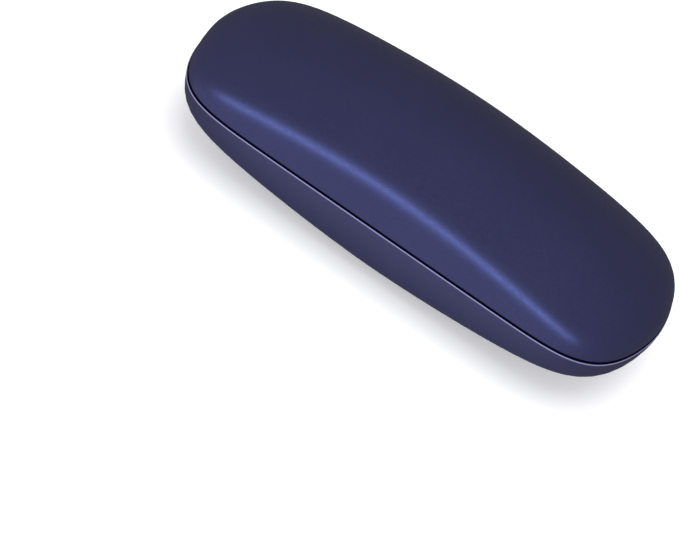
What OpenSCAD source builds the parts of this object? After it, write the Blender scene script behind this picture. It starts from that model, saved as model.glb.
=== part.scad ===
// Clamshell eyeglasses case: two pressed steel half shells, each wrapped in a glued
// leatherette cover and lined with a moulded tray, joined by a riveted snap hinge.
// Origin: middle of the flat patch the closed case rests on. X = length, -Y = opening side, +Z = up.

/* [Overall size] */
// overall length of the closed case, mm
case_len = 160; // [130:1:200]
// overall width of the lower half, without the hinge barrel, mm
case_w = 62; // [50:1:80]
// height of the seam above the surface it rests on, mm
base_h = 21; // [16:0.5:28]
// height of the lid above the seam, mm
lid_h = 24; // [18:0.5:32]

/* [Shape of the halves] */
// how straight the long sides stay before the ends turn in
plan_side = 10; // [5:0.5:14]
// how full the rounded ends are
plan_end = 1.8; // [1.5:0.05:2.6]
// lengthwise arch of both halves
arch = 1.5; // [1.4:0.1:2.5]
// fullness of the lid's ends
lid_arch_end = 2.6; // [2:0.1:4.5]
// how far out the lid's shoulder lies, as a share of the half width
lid_shoulder = 0.93; // [0.9:0.01:0.96]
// height of the lid's side wall, as a share of the lid's height
lid_wall = 0.505; // [0.45:0.005:0.65]
// how much lower the side wall gets towards the lid's ends
lid_wall_drop = 0.16; // [0:0.01:0.2]
// crown of the lid's top, higher is flatter
lid_crown = 2.2; // [1.6:0.1:3]
// fullness of the lower half's ends
base_arch_end = 2.35; // [2:0.05:4]
// how far out the lower half's shoulder lies, as a share of the half width
base_shoulder = 0.91; // [0.88:0.01:0.95]
// height of the lower half's side wall, as a share of its depth
base_wall = 0.76; // [0.6:0.01:0.8]
// crown of the lower half's floor, higher is flatter
base_crown = 2.4; // [1.6:0.1:3]
// how far the rounding of the shoulders reaches, as a share of the height
shoulder_soft = 0.14; // [0.06:0.01:0.16]
// height taken off the lower crown to make the flat patch, mm
foot_flat = 1; // [0.4:0.1:2]

/* [Layers] */
// thickness of the leatherette, mm
cover_t = 0.7; // [0.5:0.1:1.2]
// thickness of the steel half shells, mm
steel_t = 0.5; // [0.4:0.1:0.8]
// thickness of the moulded tray at the rim, mm
liner_t = 1; // [0.8:0.1:2]
// setback of the tray below the folded rim, mm
liner_setback = 0.4; // [0.3:0.1:0.6]

/* [Seam] */
// gap between the two rims when closed, mm
seam_gap = 0.3; // [0.2:0.1:0.6]
// how far the lid's rim is set in from the lower rim, mm
lid_inset = 0.4; // [0.3:0.1:0.8]

/* [Hinge] */
// length of one hinge knuckle, mm
knuckle_len = 9; // [7:0.5:10]
// outside radius of the hinge barrel, mm
barrel_r = 1.6; // [1.3:0.1:2]
// radius of the hinge pin, mm
pin_r = 0.7; // [0.5:0.05:0.9]
// thickness of the hinge leaves, mm
leaf_t = 0.6; // [0.4:0.1:0.8]
// width of leaf left round the rivet heads, mm
leaf_margin = 0.3; // [0.3:0.1:0.6]
// how far the tray's flat seat for a leaf stands in from its wall, mm
land_set = 0.4; // [0.3:0.05:0.6]
// how deep the flats of the cam knuckle are cut, mm
cam_cut = 0.3; // [0.15:0.05:0.4]
// thickness of the snap spring, mm
spring_t = 0.4; // [0.3:0.05:0.5]
// width of the snap spring's root, mm
spring_w = 18; // [14:1:22]
// angle the lid opens to, degrees
open_deg = 115; // [95:1:120]

/* [Rivets] */
// radius of the rivet shanks, mm
rivet_r = 0.8; // [0.6:0.1:1]
// radius of the rivet heads, mm
rivet_head_r = 1.5; // [1.2:0.1:1.8]
// thickness of the rivet heads, mm
rivet_head_t = 0.5; // [0.4:0.1:0.8]
// distance of the outer rivets from the ends of the hinge, mm
rivet_end = 7.5; // [4:0.5:8]
// distance of the spring's rivets from the middle, mm
spring_rivet_x = 6; // [5:0.5:7]
// distance of the rivets from the seam, mm
rivet_z = 5; // [4.5:0.1:5.5]
// how far the rivet shanks stop short of the outside of the steel, mm
shank_short = 0.25; // [0.15:0.05:0.35]

/* [Clearances] */
// radial clearance of the turning knuckles on the pin, mm
pin_clear = 0.05; // [0.03:0.01:0.1]
// radial clearance of the fixed knuckles on the pin, mm
pin_fixed_clear = 0.01; // [0.01:0.01:0.05]
// radial clearance of the rivets in their holes, mm
rivet_clear = 0.05; // [0.03:0.01:0.1]
// clearance around the turning barrel, mm
barrel_clear = 0.3; // [0.3:0.05:0.6]
// gap between neighbouring knuckles, mm
knuckle_gap = 0.3; // [0.2:0.05:0.5]
// gap between the snap spring's edge and the cam flat, mm
spring_gap = 0.05; // [0.03:0.01:0.1]

/* [Hidden] */
$fn = 48;
eps = 0.01;
cols = 56;
// how far in from the rim each row of facets lies, as a share of the way to the middle
lid_rows = [0, 0.009, 0.019, 0.04, 0.058, 0.078, 0.1, 0.13, 0.17, 0.23, 0.32, 0.45, 0.62, 0.8];
base_rows = [0, 0.009, 0.018, 0.037, 0.056, 0.075, 0.095, 0.12, 0.16, 0.22, 0.31, 0.44, 0.61, 0.8];
rows = len(lid_rows);
hem_row = 2;
land_row = 4;
soft = 0.15;
knuckles = 7;
big = 40;
seam_z = base_h;
half_l = case_len / 2;
half_w = case_w / 2;
t_steel_out = cover_t;
t_steel_in = cover_t + steel_t;
t_hem_in = 2 * cover_t + steel_t;
t_liner_in = t_hem_in + liner_t;
hinge_len = knuckles * knuckle_len;
axis_y = half_w;
axis_up = seam_gap / 2;
axis_z = seam_z + axis_up;
rivet_x = hinge_len / 2 - rivet_end;
leaf_reach = rivet_z + rivet_head_r + leaf_margin;
cam_flat = barrel_r - cam_cut;
land_half = hinge_len / 2 + 2.5;
web_in = barrel_r + barrel_clear + 0.1;
through_y = half_w + 5;
notch_half = hinge_len / 2 + 0.5;
cover_rgb = [0.2, 0.21, 0.36];
steel_rgb = [0.7, 0.71, 0.73];
liner_rgb = [0.13, 0.13, 0.16];
pin_rgb = [0.8, 0.8, 0.82];

// ---- the double curved half shells, as stacks of closed rings ----
// half = [x radius, y radius, crown, crown limit, arch end, shoulder, wall, wall drop, crown power, rows]
base_half = [half_l, half_w, base_h + foot_flat, base_h, base_arch_end, base_shoulder, base_wall, 0,
             base_crown, base_rows];
lid_half = [half_l - lid_inset, half_w - lid_inset, lid_h, lid_h, lid_arch_end, lid_shoulder, lid_wall,
            lid_wall_drop, lid_crown, lid_rows];

// y of a half's side wall in the middle of its length, t inside its outer face and d from its rim
function wall_y(h, t, d) = (h[1] - t) * (1 - (1 - h[5]) * d / ((h[2] - t) * h[6]));

// y of the flat seat for the hinge leaf, and of the ends of the rivet shanks
function land_y(h) = wall_y(h, t_liner_in, leaf_reach + 1) - land_set;
function shank_y(h) = wall_y(h, t_steel_out, rivet_z + rivet_r) - shank_short;

// share of the half width left at a share c of the half length
function plan_y(c) = pow(max(1 - pow(abs(c), plan_side), 0), 1 / plan_end);

// a power of u that stays smooth across the middle, 0 at the middle and 1 at the end
function smooth_pow(u, p) =
    (pow(u * u + soft * soft, p / 2) - pow(soft, p)) / (pow(1 + soft * soft, p / 2) - pow(soft, p));

// share of the way out from the middle for a row, 1 at the rim
function row_s(h, k) = 1 - h[9][k];

// height at y of a cross section w half wide and c high: a straight side wall and a crowned top with
// a round shoulder between them. a and b are the distances inside the wall and below the top at height
// z, written a0 - a1 * z and b0 - b1 * z, and the shoulder is where they join smoothly over k.
function section(h, u, y, w, c) =
    let (wall_h = c * (h[6] - h[7] * u * u), wall_run = w * (1 - h[5]), shoulder = w * h[5])
    let (wall_len = norm([wall_h, wall_run]), rise = c - wall_h, k = shoulder_soft * c)
    let (a0 = (w - y) * wall_h / wall_len, a1 = wall_run / wall_len)
    let (b1 = 1 / norm([1, rise * h[8] / shoulder]), b0 = b1 * (c - rise * pow(y / shoulder, h[8])))
    let (e = a0 - b0, g = a1 - b1, top = b0 / b1, side = a0 / a1)
    let (q = k * (a1 + b1) - e * g, r = e * e - 2 * k * (a0 + b0) + k * k)
    e - g * top >= k ? top : e - g * side <= -k ? side : (sqrt(q * q - g * g * r) - q) / (g * g);

// depth of a half, t inside its outer face, at x and y
function depth(h, t, x, y) =
    let (a = h[0] - t, b = h[1] - t, c = h[2] - t)
    let (u = min(abs(x) / a, 1), w = max(b * plan_y(u), eps))
    let (c_here = c * pow(max(1 - smooth_pow(u, arch), 0), 1 / h[4]))
    c_here < eps ? 0 : min(max(section(h, u, min(abs(y), w), w, c_here), 0), h[3] - t);

// one ring: r = [t, row, depth if the row is a rim row, land flag]
function ring(h, r) =
    [for (j = [0 : cols - 1])
        let (f = 360 * j / cols, s = r[1] < 1 ? 1 : row_s(h, r[1]))
        let (x0 = (h[0] - r[0]) * cos(f), y0 = (h[1] - r[0]) * sign(sin(f)) * plan_y(cos(f)))
        let (x = s * x0, y = s * y0)
        let (d = r[1] < 1 ? r[2] : depth(h, r[0], x, y))
        let (on_land = r[3] && r[1] <= land_row && y0 > 0 && abs(x0) <= land_half)
        [x, on_land ? min(y, land_y(h)) : y, d]];

// which way the quads between two rings are cut, the same seen from either side
function cut_dir(p, q) = p[1] != q[1] ? (q[1] > p[1]) : (q[0] > p[0]);

function band(i, forward) =
    [for (j = [0 : cols - 1])
        let (a = i * cols + j, b = i * cols + (j + 1) % cols)
        let (c = a + cols, d = b + cols)
        each forward ? [[a, d, b], [a, c, d]] : [[a, c, b], [b, c, d]]];

// closed body through the rings, from one crown point to the other; up = 1 for the lid
module ring_body(h, rings, up) {
    n = len(rings);
    pole_a = n * cols;
    pole_b = pole_a + 1;
    flat_pts = [for (r = rings) each ring(h, r)];
    pts = [for (p = flat_pts) [p[0], p[1], up * p[2]]];
    crown_a = [0, 0, up * (h[3] - rings[0][0])];
    crown_b = [0, 0, up * (h[3] - rings[n - 1][0])];
    side = [for (i = [0 : n - 2]) each band(i, cut_dir(rings[i], rings[i + 1]))];
    cap_a = [for (j = [0 : cols - 1]) [pole_a, j, (j + 1) % cols]];
    last = (n - 1) * cols;
    cap_b = [for (j = [0 : cols - 1]) [pole_b, last + (j + 1) % cols, last + j]];
    faces = concat(side, cap_a, cap_b);
    turned = [for (f = faces) up > 0 ? [f[2], f[1], f[0]] : f];
    polyhedron(points = concat(pts, [crown_a, crown_b]), faces = turned, convexity = 6);
}

function rows_in(t, from, land) = [for (k = [from : rows - 1]) [t, k, 0, land]];
function rows_out(t, to) = [for (k = [rows - 1 : -1 : to]) [t, k, 0, false]];

// leatherette: outer skin, folded over the steel's rim and back down inside it
function cover_rings() = concat(
    rows_out(0, 1),
    [[0, 0, 0, false], [t_hem_in, 0, 0, false], [t_hem_in, 0.1, liner_setback, false]],
    [for (k = [1 : hem_row]) [t_hem_in, k, 0, false]],
    [for (k = [hem_row : -1 : 1]) [t_steel_in, k, 0, false]],
    [[t_steel_in, 0.2, cover_t, false], [t_steel_out, 0.2, cover_t, false]],
    rows_in(t_steel_out, 1, false));

function shell_rings() = concat(
    rows_out(t_steel_out, 1),
    [[t_steel_out, 0.2, cover_t, false], [t_steel_in, 0.2, cover_t, false]],
    rows_in(t_steel_in, 1, false));

function liner_rings() = concat(
    rows_out(t_steel_in, hem_row),
    [for (k = [hem_row : -1 : 1]) [t_hem_in, k, 0, false]],
    [[t_hem_in, 0.1, liner_setback, false], [t_liner_in, 0.1, liner_setback, true]],
    rows_in(t_liner_in, 1, true));

module base_notch() {
    translate([-notch_half, axis_y - web_in - 0.1, axis_z - barrel_r - barrel_clear - 0.05])
        cube([2 * notch_half, 10, big]);
    translate([-notch_half, 0, axis_z - barrel_r])
        cube([2 * notch_half, axis_y, big]);
}

module lid_notch() {
    translate([-notch_half, axis_y - web_in - 0.1, axis_z + barrel_r + barrel_clear + 0.05 - big])
        cube([2 * notch_half, 10, big]);
    translate([-notch_half, 0, axis_z + barrel_r - big])
        cube([2 * notch_half, axis_y, big]);
}

// rivet hole from the inside of the case out to y
module rivet_hole(x, z, y) {
    translate([x, 0, z])
        rotate([-90, 0, 0])
            cylinder(r = rivet_r + rivet_clear, h = y);
}

module base_holes(y) {
    for (x = [-rivet_x, -spring_rivet_x, spring_rivet_x, rivet_x]) {
        rivet_hole(x, seam_z - rivet_z, y);
    }
}

module lid_holes(y) {
    for (x = [-rivet_x, 0, rivet_x]) {
        rivet_hole(x, seam_z + seam_gap + rivet_z, y);
    }
}

module lower_cover() {
    color(cover_rgb)
        difference() {
            translate([0, 0, seam_z])
                ring_body(base_half, cover_rings(), -1);
            base_notch();
            base_holes(shank_y(base_half) + rivet_clear);
        }
}

module lower_shell() {
    color(steel_rgb)
        difference() {
            translate([0, 0, seam_z])
                ring_body(base_half, shell_rings(), -1);
            base_notch();
            base_holes(through_y);
        }
}

module lower_liner() {
    color(liner_rgb)
        difference() {
            translate([0, 0, seam_z])
                ring_body(base_half, liner_rings(), -1);
            base_notch();
            base_holes(through_y);
        }
}

module upper_cover() {
    color(cover_rgb)
        difference() {
            translate([0, 0, seam_z + seam_gap])
                ring_body(lid_half, cover_rings(), 1);
            lid_notch();
            lid_holes(shank_y(lid_half) + rivet_clear);
        }
}

module upper_shell() {
    color(steel_rgb)
        difference() {
            translate([0, 0, seam_z + seam_gap])
                ring_body(lid_half, shell_rings(), 1);
            lid_notch();
            lid_holes(through_y);
        }
}

module upper_liner() {
    color(liner_rgb)
        difference() {
            translate([0, 0, seam_z + seam_gap])
                ring_body(lid_half, liner_rings(), 1);
            lid_notch();
            lid_holes(through_y);
        }
}

// ---- hinge ----
module bar_x(x0, x1, r) {
    translate([x0, axis_y, axis_z])
        rotate([0, 90, 0])
            cylinder(r = r, h = x1 - x0);
}

// knuckles of one leaf (i = first, first + 2, ...) with the strap that joins each to its web
module knuckle_row(first, up) {
    for (i = [first : 2 : knuckles - 1]) {
        x0 = -hinge_len / 2 + i * knuckle_len + knuckle_gap / 2;
        x1 = x0 + knuckle_len - knuckle_gap;
        bar_x(x0, x1, barrel_r);
        translate([x0, axis_y - web_in - leaf_t, axis_z + (up > 0 ? barrel_r - leaf_t : -barrel_r)])
            cube([x1 - x0, web_in + leaf_t, leaf_t]);
    }
}

module leaf_plate(seat_y, up) {
    web_z = up > 0 ? axis_z + barrel_r - leaf_t : axis_z - barrel_r;
    translate([-hinge_len / 2, seat_y - leaf_t, web_z])
        cube([hinge_len, axis_y - web_in - seat_y + leaf_t, leaf_t]);
    leg_z = up > 0 ? web_z : seam_z - leaf_reach;
    leg_h = up > 0 ? seam_z + seam_gap + leaf_reach - web_z : web_z + leaf_t - leg_z;
    translate([-hinge_len / 2, seat_y - leaf_t, leg_z])
        cube([hinge_len, leaf_t, leg_h]);
}

module lower_hinge_leaf() {
    color(steel_rgb)
        difference() {
            union() {
                knuckle_row(0, -1);
                leaf_plate(land_y(base_half), -1);
            }
            bar_x(-hinge_len, hinge_len, pin_r + pin_fixed_clear);
            base_holes(through_y);
        }
}

module upper_hinge_leaf() {
    cam_x = -knuckle_len / 2;
    color(steel_rgb)
        difference() {
            union() {
                knuckle_row(1, 1);
                leaf_plate(land_y(lid_half), 1);
            }
            bar_x(-hinge_len, hinge_len, pin_r + pin_clear);
            lid_holes(through_y);
            translate([cam_x, axis_y - cam_flat - 2, axis_z - 3])
                cube([knuckle_len, 2, 3 + barrel_r - leaf_t]);
            translate([0, axis_y, axis_z])
                rotate([open_deg, 0, 0])
                    translate([cam_x, -cam_flat - 2, -barrel_r])
                        cube([knuckle_len, 2, 2 * barrel_r]);
        }
}

module hinge_pin() {
    color(pin_rgb)
        bar_x(-hinge_len / 2 - 0.2, hinge_len / 2 + 0.2, pin_r);
}

module snap_spring() {
    face_y = land_y(base_half) - leaf_t;
    foot_z = seam_z - leaf_reach;
    top_z = axis_z - barrel_r + leaf_t;
    edge_y = axis_y - cam_flat - spring_gap;
    finger_w = knuckle_len - 2;
    color(pin_rgb)
        difference() {
            union() {
                translate([-spring_w / 2, face_y - spring_t, foot_z])
                    cube([spring_w, spring_t, top_z + spring_t - foot_z]);
                translate([-finger_w / 2, face_y - spring_t, top_z])
                    cube([finger_w, edge_y - face_y + spring_t, spring_t]);
            }
            base_holes(through_y);
        }
}

// rivet with its head on the inner face at y and its shank ending inside the steel
module rivet(x, y, z, shank_end) {
    translate([x, y, z])
        rotate([-90, 0, 0])
            cylinder(r = rivet_r, h = shank_end - y);
    translate([x, y, z])
        rotate([90, 0, 0])
            cylinder(r = rivet_head_r, h = rivet_head_t);
}

module lower_rivets() {
    color(pin_rgb)
        for (x = [-rivet_x, rivet_x]) {
            rivet(x, land_y(base_half) - leaf_t, seam_z - rivet_z, shank_y(base_half));
        }
}

module upper_rivets() {
    color(pin_rgb)
        for (x = [-rivet_x, 0, rivet_x]) {
            rivet(x, land_y(lid_half) - leaf_t, seam_z + seam_gap + rivet_z, shank_y(lid_half));
        }
}

module spring_rivets() {
    color(pin_rgb)
        for (x = [-spring_rivet_x, spring_rivet_x]) {
            rivet(x, land_y(base_half) - leaf_t - spring_t, seam_z - rivet_z, shank_y(base_half));
        }
}

lower_cover();
lower_shell();
lower_liner();
upper_cover();
upper_shell();
upper_liner();
lower_hinge_leaf();
upper_hinge_leaf();
hinge_pin();
snap_spring();
lower_rivets();
upper_rivets();
spring_rivets();
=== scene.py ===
import math
import bpy
import numpy as np
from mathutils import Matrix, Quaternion, Vector


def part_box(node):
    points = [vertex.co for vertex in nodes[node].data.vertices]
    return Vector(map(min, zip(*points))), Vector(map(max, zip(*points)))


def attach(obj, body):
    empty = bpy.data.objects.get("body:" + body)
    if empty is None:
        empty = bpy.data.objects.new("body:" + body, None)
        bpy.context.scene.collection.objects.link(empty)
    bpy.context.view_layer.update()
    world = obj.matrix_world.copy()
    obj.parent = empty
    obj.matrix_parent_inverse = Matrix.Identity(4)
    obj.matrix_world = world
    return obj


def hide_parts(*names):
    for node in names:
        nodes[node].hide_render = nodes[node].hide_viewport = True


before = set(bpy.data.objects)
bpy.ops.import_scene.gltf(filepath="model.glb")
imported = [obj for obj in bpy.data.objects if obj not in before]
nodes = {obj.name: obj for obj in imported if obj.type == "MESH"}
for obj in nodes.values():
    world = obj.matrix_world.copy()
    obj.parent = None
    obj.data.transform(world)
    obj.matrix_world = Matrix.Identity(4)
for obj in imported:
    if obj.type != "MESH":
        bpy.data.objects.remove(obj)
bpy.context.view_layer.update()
MM = 0.001

# ---------------------------------------------------------------- camera
scene = bpy.context.scene
cam_data = bpy.data.cameras.new("camera")
cam = bpy.data.objects.new("camera", cam_data)
scene.collection.objects.link(cam)
scene.camera = cam
cam_at = Vector((0.1186, -0.5091, 0.4865))
cam_to = Vector((0.0077, -0.0816, 0.0514))
CAM_ROLL = math.radians(24.53)
CAM_LENS = 127.2
cam.location = cam_at
cam.rotation_mode = "QUATERNION"
level = (cam_to - cam_at).to_track_quat("-Z", "Y")
cam.rotation_quaternion = level @ Quaternion((0, 0, 1), CAM_ROLL)
cam_data.sensor_fit = "HORIZONTAL"
cam_data.sensor_width = 36
cam_data.lens = CAM_LENS
cam_data.clip_start = 0.01
cam_data.clip_end = 20

# ---------------------------------------------------------------- shape of the two halves
# boxes from the frame, and the CAD's layer thicknesses and shape values
base_lo, base_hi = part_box("lower_cover")
lid_lo, lid_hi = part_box("upper_cover")
leaf_lo, leaf_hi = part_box("lower_hinge_leaf")
lid_leaf_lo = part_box("upper_hinge_leaf")[0]
HINGE_HALF = (leaf_hi.x - leaf_lo.x) / 2
LEAF_T = 0.6 * MM
COVER_T, STEEL_T, LINER_T = 0.7 * MM, 0.5 * MM, 1.0 * MM
T_STEEL_OUT = COVER_T
T_STEEL_IN = COVER_T + STEEL_T
T_HEM_IN = 2 * COVER_T + STEEL_T
T_LINER_IN = T_HEM_IN + LINER_T
PLAN_SIDE, PLAN_END = 10.0, 1.8
ARCH = 1.5
SOFT = 0.15
SHOULDER_SOFT = 0.14
FOOT_FLAT = 1.0 * MM
FOOT_ROUND = 0.35 * MM

# how the leatherette, the trays and the hinge notch in both rims are made
COLUMNS = 240
NOTCH_EDGE = 0.5 * MM
NOTCH_ROUND = 0.9 * MM
NOTCH_LOW = 1.8 * MM
TRAY_LOW = 1.45 * MM
TRAY_SETBACK = 0.4 * MM
RIM_ROUND = 0.55 * MM
TRAY_ROUND = 0.4 * MM
LAND_MARGIN = 0.8 * MM
LAND_BLEND = 3.0 * MM
LAND_ROUND = 0.3 * MM


class Half:
    """One half's double curved outside, from its box and the same shape values as the CAD."""

    def __init__(self, lo, hi, up, crown_extra, arch_end, shoulder, wall, drop, crown_power, land_y):
        self.a = (hi.x - lo.x) / 2
        self.b = (hi.y - lo.y) / 2
        self.up = up
        self.z0 = lo.z if up > 0 else hi.z
        self.limit = hi.z - lo.z
        self.crown = self.limit + crown_extra
        self.arch_end, self.shoulder = arch_end, shoulder
        self.wall, self.drop = wall, drop
        self.crown_power, self.land_y = crown_power, land_y


BASE = Half(base_lo, base_hi, -1, FOOT_FLAT, 2.35, 0.91, 0.76, 0.0, 2.4, leaf_lo.y + LEAF_T)
LID = Half(lid_lo, lid_hi, 1, 0.0, 2.6, 0.93, 0.505, 0.16, 2.2, lid_leaf_lo.y + LEAF_T)


def plan_y(c):
    """Share of the half width left at a share c of the half length."""
    return np.maximum(1 - np.abs(c) ** PLAN_SIDE, 0) ** (1 / PLAN_END)


def smooth_pow(u, p):
    """A power of u that stays smooth across the middle, 0 at the middle and 1 at the end."""
    e = SOFT * SOFT
    return ((u * u + e) ** (p / 2) - e ** (p / 2)) / ((1 + e) ** (p / 2) - e ** (p / 2))


def soft_min(d, limit, k):
    """min(d, limit) with a rounded corner k wide."""
    h = np.clip(0.5 + 0.5 * (limit - d) / k, 0, 1)
    return d * h + limit * (1 - h) - k * h * (1 - h)


def section(h, u, y, w, c):
    """Height at y of a cross section w half wide and c high: side wall, round shoulder, crowned top."""
    wall_h, wall_run, shoulder = c * (h.wall - h.drop * u * u), w * (1 - h.shoulder), w * h.shoulder
    wall_len, rise, k = np.hypot(wall_h, wall_run), c - wall_h, SHOULDER_SOFT * c
    a0, a1 = (w - y) * wall_h / wall_len, wall_run / wall_len
    b1 = 1 / np.hypot(1, rise * h.crown_power / shoulder)
    b0 = b1 * (c - rise * (y / shoulder) ** h.crown_power)
    e, g, top, side = a0 - b0, a1 - b1, b0 / b1, a0 / a1
    q, r = k * (a1 + b1) - e * g, e * e - 2 * k * (a0 + b0) + k * k
    join = (np.sqrt(np.maximum(q * q - g * g * r, 0)) - q) / (g * g)
    return np.where(e - g * top >= k, top, np.where(e - g * side <= -k, side, join))


def depth(h, t, x, y):
    """Depth of the surface t inside a half's outer face, at x and y."""
    a, b, c = h.a - t, h.b - t, h.crown - t
    u = np.minimum(np.abs(x) / a, 1)
    w = np.maximum(b * plan_y(u), 1e-6)
    c_here = np.maximum(c * np.maximum(1 - smooth_pow(u, ARCH), 0) ** (1 / h.arch_end), 1e-7)
    d = np.maximum(section(h, u, np.minimum(np.abs(y), w), w, c_here), 0)
    if h.up < 0:
        d = soft_min(d, h.limit - t, FOOT_ROUND)
    return d


def columns():
    """Angles round the outline, closer together at the two ends of the hinge notch."""
    f = np.arange(COLUMNS) * 2 * math.pi / COLUMNS
    extra = []
    for off in np.linspace(-1.6 * MM, 1.6 * MM, 15):
        c = (HINGE_HALF + NOTCH_EDGE + off) / BASE.a
        extra += [math.acos(c), math.pi - math.acos(c)]
    return np.unique(np.round(np.concatenate([f, extra]), 5))


def notch_depth(h, f, low):
    """Depth of the rim below the seam plane along the outline: the cut-out for the hinge barrel."""
    x = np.abs(h.a * np.cos(f))
    inside = np.clip((HINGE_HALF + NOTCH_EDGE - x) / NOTCH_ROUND, -1, 1)
    step = 0.5 + 0.5 * np.sin(inside * math.pi / 2)
    return np.where(np.sin(f) > 0, low * step, 0)


def outline(h, t, f):
    """The rim of the surface t inside, at the angles f."""
    return (h.a - t) * np.cos(f), (h.b - t) * np.sign(np.sin(f)) * plan_y(np.cos(f))


def s_at(h, t, f, d):
    """Share of the way out at which the surface t inside is d deep."""
    x, y = outline(h, t, f)
    lo, hi = np.full_like(f, 0.5), np.ones_like(f)
    for _ in range(34):
        mid = (lo + hi) / 2
        deep = depth(h, t, mid * x, mid * y) > d
        lo, hi = np.where(deep, mid, lo), np.where(deep, hi, mid)
    return (lo + hi) / 2


def on_land(h, x, y):
    """The tray's flat seat for the hinge leaf."""
    k = np.clip((np.abs(x) - HINGE_HALF - LAND_MARGIN) / LAND_BLEND, 0, 1)
    k = k * k * (3 - 2 * k)
    flat = soft_min(y, h.land_y, LAND_ROUND)
    return np.where(y > 0, flat * (1 - k) + y * k, y)


def ring_at(h, t, f, d, land=False):
    """Ring on the surface t inside, d deep (d may vary along the ring)."""
    x0, y0 = outline(h, t, f)
    s = s_at(h, t, f, d)
    x, y = s * x0, s * y0
    if land:
        y = on_land(h, x, y)
    return np.stack([x, y, d * np.ones_like(f)], -1)


def rows_to_crown(h, t, f, d_start, n, land=False):
    """Rings from d_start to just before the crown, evenly spaced along the surface."""
    x0, y0 = outline(h, t, f)
    s1 = s_at(h, t, f, d_start)
    fine = s1[None, :] * (1 - np.linspace(0, 1, 400)[:, None] ** 2.4)
    x, y = fine * x0, fine * y0
    d = depth(h, t, x, y)
    step = np.sqrt(np.diff(x, axis=0) ** 2 + np.diff(y, axis=0) ** 2 + np.diff(d, axis=0) ** 2)
    arc = np.concatenate([np.zeros((1, len(f))), np.cumsum(step, 0)])
    out = []
    for k in range(1, n):
        q = (k / n) ** 1.25
        s = np.array([np.interp(q * arc[-1, j], arc[:, j], fine[:, j]) for j in range(len(f))])
        x, y = s * x0, s * y0
        d = depth(h, t, x, y)
        if land:
            y = on_land(h, x, y)
        out.append(np.stack([x, y, d], -1))
    return out


def rim_arc(h, f, rim, t_out, t_in, r, n, land=False):
    """Rounded rim from the outer face t_out over to the inner face t_in, r = corner radius."""
    rings = []
    for k in range(n + 1):
        q = math.pi / 2 * k / n
        rings.append(ring_at(h, t_out + r * (1 - math.cos(q)), f, rim + r * (1 - math.sin(q)), land))
    for k in range(n + 1):
        q = math.pi / 2 * k / n
        rings.append(ring_at(h, t_in - r * (1 - math.sin(q)), f, rim + r * (1 - math.cos(q)), land))
    return rings


def solid(name, h, rings, crown_first, crown_last):
    """Closed mesh through the rings, with a crown point at either end."""
    n, c = len(rings), len(rings[0])
    pts = np.concatenate(rings + [np.array([[0, 0, crown_first], [0, 0, crown_last]])])
    pts[:, 2] = h.z0 + h.up * pts[:, 2]
    i, j = np.meshgrid(np.arange(n - 1), np.arange(c), indexing="ij")
    a = i * c + j
    b = i * c + (j + 1) % c
    quads = np.stack([a, b, b + c, a + c], -1).reshape(-1, 4)
    if h.up > 0:
        quads = quads[:, ::-1]
    faces = quads.tolist()
    first, last = n * c, n * c + 1
    for k in range(c):
        k1 = (k + 1) % c
        cap_a = [first, k1, k]
        cap_b = [last, (n - 1) * c + k, (n - 1) * c + k1]
        faces += [cap_a if h.up < 0 else cap_a[::-1], cap_b if h.up < 0 else cap_b[::-1]]
    mesh = bpy.data.meshes.new(name)
    mesh.from_pydata(pts.tolist(), [], faces)
    mesh.validate()
    obj = bpy.data.objects.new(name, mesh)
    scene.collection.objects.link(obj)
    for p in mesh.polygons:
        p.use_smooth = True
    return obj


def make_cover(name, h, material, painted_rim_light_shade):
    """Leatherette skin, folded over the rim; the last argument paints light on the rim's first five
    rings, plus for a painted highlight and minus for painted shade, and the four rings after them get
    painted shade.
    """
    f = columns()
    rim = notch_depth(h, f, NOTCH_LOW)
    outer = rows_to_crown(h, 0, f, rim + RIM_ROUND, 44)[::-1]
    hem = [ring_at(h, T_HEM_IN, f, rim + d * MM) for d in (1.2, 2.2, 3.4)]
    back = [ring_at(h, T_STEEL_IN, f, rim + d * MM) for d in (3.4, 1.0)]
    turn = [ring_at(h, T_STEEL_OUT, f, rim + 1.0 * MM)]
    inner = rows_to_crown(h, T_STEEL_OUT, f, rim + 1.0 * MM, 30)
    rings = outer + rim_arc(h, f, rim, 0, T_HEM_IN, RIM_ROUND, 6) + hem + back + turn + inner
    obj = solid(name, h, rings, h.limit, h.limit - T_STEEL_OUT)
    painted_light_rings = np.zeros(len(rings))
    # painted highlight and painted shade per rim ring; the four extra rings carry painted shade down
    # into the seam gap
    painted_light_rings[len(outer):len(outer) + 9] = painted_rim_light_shade + (-1, -1, -1, -0.5)
    painted_light_attr = obj.data.attributes.new("painted_rim_light_shade", "FLOAT", "POINT")
    painted_light_attr.data.foreach_set("value", np.append(np.repeat(painted_light_rings, len(f)), (0, 0)))
    obj.data.materials.append(material)
    return obj


def make_liner(name, h, material):
    """Moulded tray, seated over the leatherette's folded hem."""
    f = columns()
    rim = TRAY_SETBACK + notch_depth(h, f, TRAY_LOW - TRAY_SETBACK)
    outer = rows_to_crown(h, T_STEEL_IN, f, rim + 5.0 * MM, 24)[::-1]
    side = [ring_at(h, T_STEEL_IN, f, rim + 4.2 * MM)]
    side += [ring_at(h, T_HEM_IN, f, rim + d * MM) for d in (3.8, 2.0)]
    arc = rim_arc(h, f, rim, T_HEM_IN, T_LINER_IN, TRAY_ROUND, 4, land=True)
    inner = rows_to_crown(h, T_LINER_IN, f, rim + TRAY_ROUND, 44, land=True)
    rings = outer + side + arc + inner
    obj = solid(name, h, rings, h.limit - T_STEEL_IN, h.limit - T_LINER_IN)
    obj.data.materials.append(material)
    return obj


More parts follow.
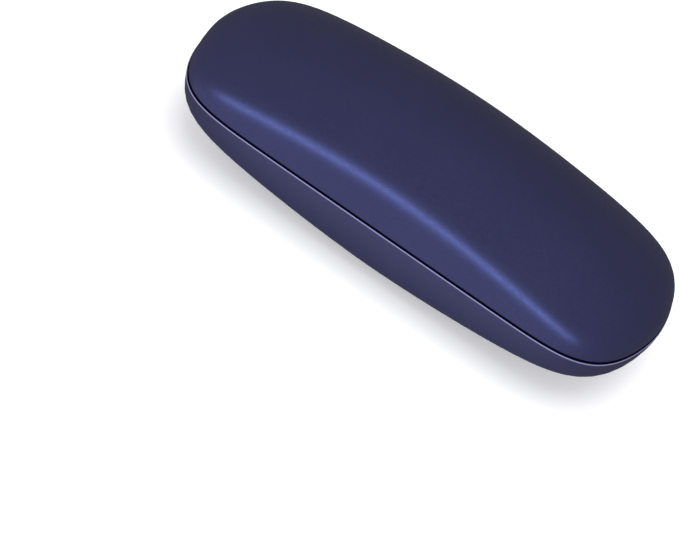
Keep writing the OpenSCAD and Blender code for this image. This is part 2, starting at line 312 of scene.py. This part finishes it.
# ---------------------------------------------------------------- materials
def new_material(name):
    """An empty material with one shader, and its object coordinates."""
    m = bpy.data.materials.new(name)
    m.use_nodes = True
    t = m.node_tree
    t.nodes.clear()
    out = t.nodes.new("ShaderNodeOutputMaterial")
    p = t.nodes.new("ShaderNodeBsdfPrincipled")
    t.links.new(p.outputs[0], out.inputs[0])
    coord = t.nodes.new("ShaderNodeTexCoord").outputs["Object"]
    return m, t, p, coord


def noise(t, coord, scale, detail=2.0, rough=0.5):
    n = t.nodes.new("ShaderNodeTexNoise")
    n.inputs["Scale"].default_value = scale
    n.inputs["Detail"].default_value = detail
    n.inputs["Roughness"].default_value = rough
    t.links.new(coord, n.inputs["Vector"])
    return n.outputs["Fac"]


def ramp(t, fac, stops):
    r = t.nodes.new("ShaderNodeValToRGB")
    e = r.color_ramp.elements
    e[0].position, e[0].color = stops[0][0], (*stops[0][1], 1)
    e[1].position, e[1].color = stops[-1][0], (*stops[-1][1], 1)
    for pos, col in stops[1:-1]:
        n = e.new(pos)
        n.color = (*col, 1)
    t.links.new(fac, r.inputs["Fac"])
    return r.outputs["Color"]


def remap(t, fac, a, b, c, d):
    m = t.nodes.new("ShaderNodeMapRange")
    for k, v in zip(("From Min", "From Max", "To Min", "To Max"), (a, b, c, d)):
        m.inputs[k].default_value = v
    t.links.new(fac, m.inputs["Value"])
    return m.outputs["Result"]


def mix(t, fac, a, b):
    m = t.nodes.new("ShaderNodeMix")
    m.data_type = "RGBA"
    t.links.new(fac, m.inputs["Factor"])
    for v, i in ((a, 6), (b, 7)):
        if isinstance(v, tuple):
            m.inputs[i].default_value = (*v, 1)
        else:
            t.links.new(v, m.inputs[i])
    return m.outputs[2]


def bump(t, height, strength, distance, normal=None):
    b = t.nodes.new("ShaderNodeBump")
    b.inputs["Strength"].default_value = strength
    b.inputs["Distance"].default_value = distance
    t.links.new(height, b.inputs["Height"])
    if normal is not None:
        t.links.new(normal, b.inputs["Normal"])
    return b.outputs["Normal"]


def product(t, a, b):
    m = t.nodes.new("ShaderNodeMath")
    m.operation = "MULTIPLY"
    t.links.new(a, m.inputs[0])
    t.links.new(b, m.inputs[1])
    return m.outputs[0]


def leatherette(name):
    """Dark navy coated fabric: pearly gloss, pebbled grain, with a painted highlight and painted shade
    on the folded rim, read from a per-point attribute.
    """
    m, t, p, coord = new_material(name)
    blotch = noise(t, coord, 38, 3)
    col = ramp(t, blotch, [(0.3, (0.0200, 0.0196, 0.0474)), (0.7, (0.0218, 0.0214, 0.0520))])
    fine = noise(t, coord, 1500, 2)
    col = mix(t, remap(t, fine, 0.35, 0.75, 0.0, 0.35), col, (0.030, 0.030, 0.073))
    # per-point painted light along the rim: plus is painted highlight, minus is painted shade
    painted_rim_light_shade = t.nodes.new("ShaderNodeAttribute")
    painted_rim_light_shade.attribute_name = "painted_rim_light_shade"
    painted_rim_light_shade = painted_rim_light_shade.outputs["Fac"]
    # painted highlight: light lavender on the rim's outer corner, where light would catch it
    col = mix(t, remap(t, painted_rim_light_shade, 0, 1, 0, 1), col, (0.20, 0.195, 0.32))
    # painted shade: near black over the rim's top and inner side, in the seam gap
    col = mix(t, remap(t, painted_rim_light_shade, 0, -1, 0, 1), col, (0.003, 0.0026, 0.012))
    t.links.new(col, p.inputs["Base Color"])
    rough = remap(t, noise(t, coord, 900, 3), 0.3, 0.7, 0.30, 0.38)
    t.links.new(rough, p.inputs["Roughness"])
    # gloss turned down together with the painted shade
    t.links.new(remap(t, painted_rim_light_shade, 0, -1, 0.75, 0.05), p.inputs["Specular IOR Level"])
    p.inputs["Specular Tint"].default_value = (0.24, 0.33, 1.0, 1)
    cell = t.nodes.new("ShaderNodeTexVoronoi")
    cell.feature = "SMOOTH_F1"
    cell.inputs["Scale"].default_value = 1900
    cell.inputs["Smoothness"].default_value = 0.6
    t.links.new(coord, cell.inputs["Vector"])
    n1 = bump(t, cell.outputs["Distance"], 0.16, 0.00006)
    n2 = bump(t, noise(t, coord, 260, 4), 0.05, 0.0004, n1)
    t.links.new(n2, p.inputs["Normal"])
    return m


def flock(name):
    """Short black flock on the moulded tray."""
    m, t, p, coord = new_material(name)
    speck = noise(t, coord, 2600, 3, 0.7)
    swirl = noise(t, coord, 55, 3)
    col = ramp(t, speck, [(0.3, (0.010, 0.010, 0.013)), (0.7, (0.032, 0.032, 0.039))])
    col = mix(t, remap(t, swirl, 0.3, 0.7, 0.0, 0.35), col, (0.040, 0.040, 0.047))
    t.links.new(col, p.inputs["Base Color"])
    p.inputs["Roughness"].default_value = 0.95
    p.inputs["Specular IOR Level"].default_value = 0.15
    p.inputs["Sheen Weight"].default_value = 0.3
    p.inputs["Sheen Roughness"].default_value = 0.5
    p.inputs["Sheen Tint"].default_value = (0.75, 0.76, 0.85, 1)
    n1 = bump(t, speck, 0.5, 0.00012)
    n2 = bump(t, swirl, 0.12, 0.0012, n1)
    t.links.new(n2, p.inputs["Normal"])
    return m


def metal(name, dark, light, rough_lo, rough_hi, streak):
    """Plated or rolled steel with fine streaks along the strip."""
    m, t, p, coord = new_material(name)
    mp = t.nodes.new("ShaderNodeMapping")
    mp.inputs["Scale"].default_value = streak
    t.links.new(coord, mp.inputs["Vector"])
    s = noise(t, mp.outputs[0], 900, 3, 0.6)
    wear = noise(t, coord, 420, 4, 0.6)
    col = ramp(t, s, [(0.3, dark), (0.7, light)])
    t.links.new(col, p.inputs["Base Color"])
    p.inputs["Metallic"].default_value = 0.85
    t.links.new(remap(t, product(t, s, wear), 0.1, 0.45, rough_lo, rough_hi), p.inputs["Roughness"])
    t.links.new(bump(t, s, 0.12, 0.00003), p.inputs["Normal"])
    return m


navy = leatherette("navy_leatherette")
lining = flock("black_flock")
steel = metal("pressed_steel", (0.30, 0.30, 0.31), (0.44, 0.44, 0.45), 0.34, 0.5, (0.05, 1, 1))
nickel = metal("nickel_plate", (0.42, 0.415, 0.40), (0.56, 0.55, 0.53), 0.50, 0.64, (0.08, 1, 1))
spring_mat = metal("spring_strip", (0.30, 0.31, 0.35), (0.46, 0.47, 0.50), 0.34, 0.46, (1, 1, 0.06))

# ---------------------------------------------------------------- pieces
RIVET_HEAD_T = 0.5 * MM

# lower rim: painted highlight on its outer corner, painted shade over its top and inner side
lower_skin = make_cover("lower_leatherette", BASE, navy, (0, 0.5, 1, 1, -1))
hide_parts("lower_cover")
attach(lower_skin, "base")

# lid rim: painted shade over its corner, top and inner side, along the seam gap
upper_skin = make_cover("upper_leatherette", LID, navy, (0, 0, -0.8, -1, -1))
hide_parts("upper_cover")
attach(upper_skin, "lid")

lower_tray = make_liner("lower_flocked_tray", BASE, lining)
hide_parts("lower_liner")
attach(lower_tray, "base")

upper_tray = make_liner("upper_flocked_tray", LID, lining)
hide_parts("upper_liner")
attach(upper_tray, "lid")


def dress(name, material, bevel=None):
    """Give a CAD node that stays its material and, if asked, slightly broken edges."""
    o = nodes[name]
    o.data.materials.clear()
    o.data.materials.append(material)
    for p in o.data.polygons:
        p.material_index = 0
    if bevel:
        b = o.modifiers.new("edge", "BEVEL")
        b.width = bevel
        b.segments = 2
        b.limit_method = "ANGLE"
        b.angle_limit = math.radians(50)


dress("lower_shell", steel)
dress("upper_shell", steel)
dress("lower_hinge_leaf", nickel, 0.00008)
dress("upper_hinge_leaf", nickel, 0.00008)
dress("hinge_pin", steel)
dress("snap_spring", spring_mat, 0.00006)


def rivet_head(x, y, z, r, t):
    """Domed head on the inner face, looking towards -Y."""
    prof = [(0.0, -t)]
    for k in range(1, 9):
        q = math.pi / 2 * k / 8
        prof.append((r * math.sin(q), -0.12 * t - (t * 0.88) * math.cos(q)))
    prof += [(r, -0.02 * t), (r * 0.98, 0.0), (r * 0.5, 0.0)]
    n = 40
    pts, faces = [(x, y + prof[0][1], z)], []
    for rr, yy in prof[1:]:
        for j in range(n):
            q = 2 * math.pi * j / n
            pts.append((x + rr * math.cos(q), y + yy, z + rr * math.sin(q)))
    rings = len(prof) - 1
    for j in range(n):
        faces.append((0, 1 + (j + 1) % n, 1 + j))
    for i in range(rings - 1):
        for j in range(n):
            a, b = 1 + i * n + j, 1 + i * n + (j + 1) % n
            faces.append((a, b, b + n, a + n))
    last = 1 + (rings - 1) * n
    faces.append(tuple(last + j for j in range(n)))
    return pts, faces


def rivet_group(name, node, body, xs, material):
    """The heads of one node's rivets, as one piece."""
    lo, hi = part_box(node)
    z = (lo.z + hi.z) / 2
    head_r = (hi.z - lo.z) / 2
    y = lo.y + RIVET_HEAD_T
    pts, faces = [], []
    for x in xs:
        p, f = rivet_head(x, y, z, head_r, RIVET_HEAD_T)
        faces += [tuple(i + len(pts) for i in face) for face in f]
        pts += p
    mesh = bpy.data.meshes.new(name)
    mesh.from_pydata(pts, [], faces)
    mesh.validate()
    for q in mesh.polygons:
        q.use_smooth = len(q.vertices) < 30
    o = bpy.data.objects.new(name, mesh)
    scene.collection.objects.link(o)
    mesh.materials.append(material)
    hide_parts(node)
    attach(o, body)


def outer_rivet_x(node):
    """x of the outermost rivet of a node, from its box."""
    lo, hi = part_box(node)
    return hi.x - (hi.z - lo.z) / 2


rx = outer_rivet_x("lower_rivets")
sx = outer_rivet_x("spring_rivets")
rivet_group("lower_rivet_heads", "lower_rivets", "base", (-rx, rx), nickel)
rivet_group("upper_rivet_heads", "upper_rivets", "lid", (-rx, 0.0, rx), nickel)
rivet_group("spring_rivet_heads", "spring_rivets", "base", (-sx, sx), nickel)

# ---------------------------------------------------------------- floor, light, world
FLOOR = 3.0
corners = [(-FLOOR, -FLOOR, 0), (FLOOR, -FLOOR, 0), (FLOOR, FLOOR, 0), (-FLOOR, FLOOR, 0)]
floor_mesh = bpy.data.meshes.new("floor")
floor_mesh.from_pydata(corners, [], [(0, 1, 2, 3)])
floor = bpy.data.objects.new("floor", floor_mesh)
scene.collection.objects.link(floor)
fm, ft, fp, fc = new_material("pale_floor")
floor_col = ramp(ft, noise(ft, fc, 6, 2), [(0.3, (0.86, 0.86, 0.87)), (0.7, (0.88, 0.88, 0.89))])
ft.links.new(floor_col, fp.inputs["Base Color"])
fp.inputs["Roughness"].default_value = 0.9
fp.inputs["Emission Color"].default_value = (1, 1, 1, 1)
fp.inputs["Emission Strength"].default_value = 0.2
fp.inputs["Specular IOR Level"].default_value = 0.1
floor_mesh.materials.append(fm)

world = bpy.data.worlds.new("studio")
scene.world = world
world.use_nodes = True
wt = world.node_tree
bg = wt.nodes["Background"]
bg.inputs["Color"].default_value = (0.97, 0.97, 1.0, 1)
path = wt.nodes.new("ShaderNodeLightPath")
WORLD_LIGHT, WORLD_IN_GLOSS = 0.75, 0.12
strength = remap(wt, path.outputs["Is Glossy Ray"], 0, 1, WORLD_LIGHT, WORLD_IN_GLOSS)
wt.links.new(strength, bg.inputs["Strength"])
floor.visible_glossy = False


def area(name, at, to, size, size_y, power, color=(1, 1, 1)):
    """Soft rectangular light at one point, facing another."""
    d = bpy.data.lights.new(name, "AREA")
    d.shape = "RECTANGLE"
    d.size, d.size_y = size, size_y
    d.energy = power
    d.color = color
    o = bpy.data.objects.new(name, d)
    scene.collection.objects.link(o)
    o.location = at
    o.rotation_mode = "QUATERNION"
    o.rotation_quaternion = (Vector(to) - Vector(at)).to_track_quat("-Z", "Y")
    return o


area("front_soft", (-0.13, -1.1, 0.35), (0, 0, 0.02), 1.56, 0.2, 12.0)
card = area("front_card", (-0.09, -0.24, 0.002), (-0.09, -0.2, 1), 0.34, 0.4, 0.245, (1.0, 0.88, 0.94))
card.visible_camera = False
area("top_soft", (0.1, 0.1, 1.3), (0, 0, 0), 1.2, 1.2, 9.0).visible_glossy = False

scene.view_settings.view_transform = "Standard"
scene.view_settings.look = "None"
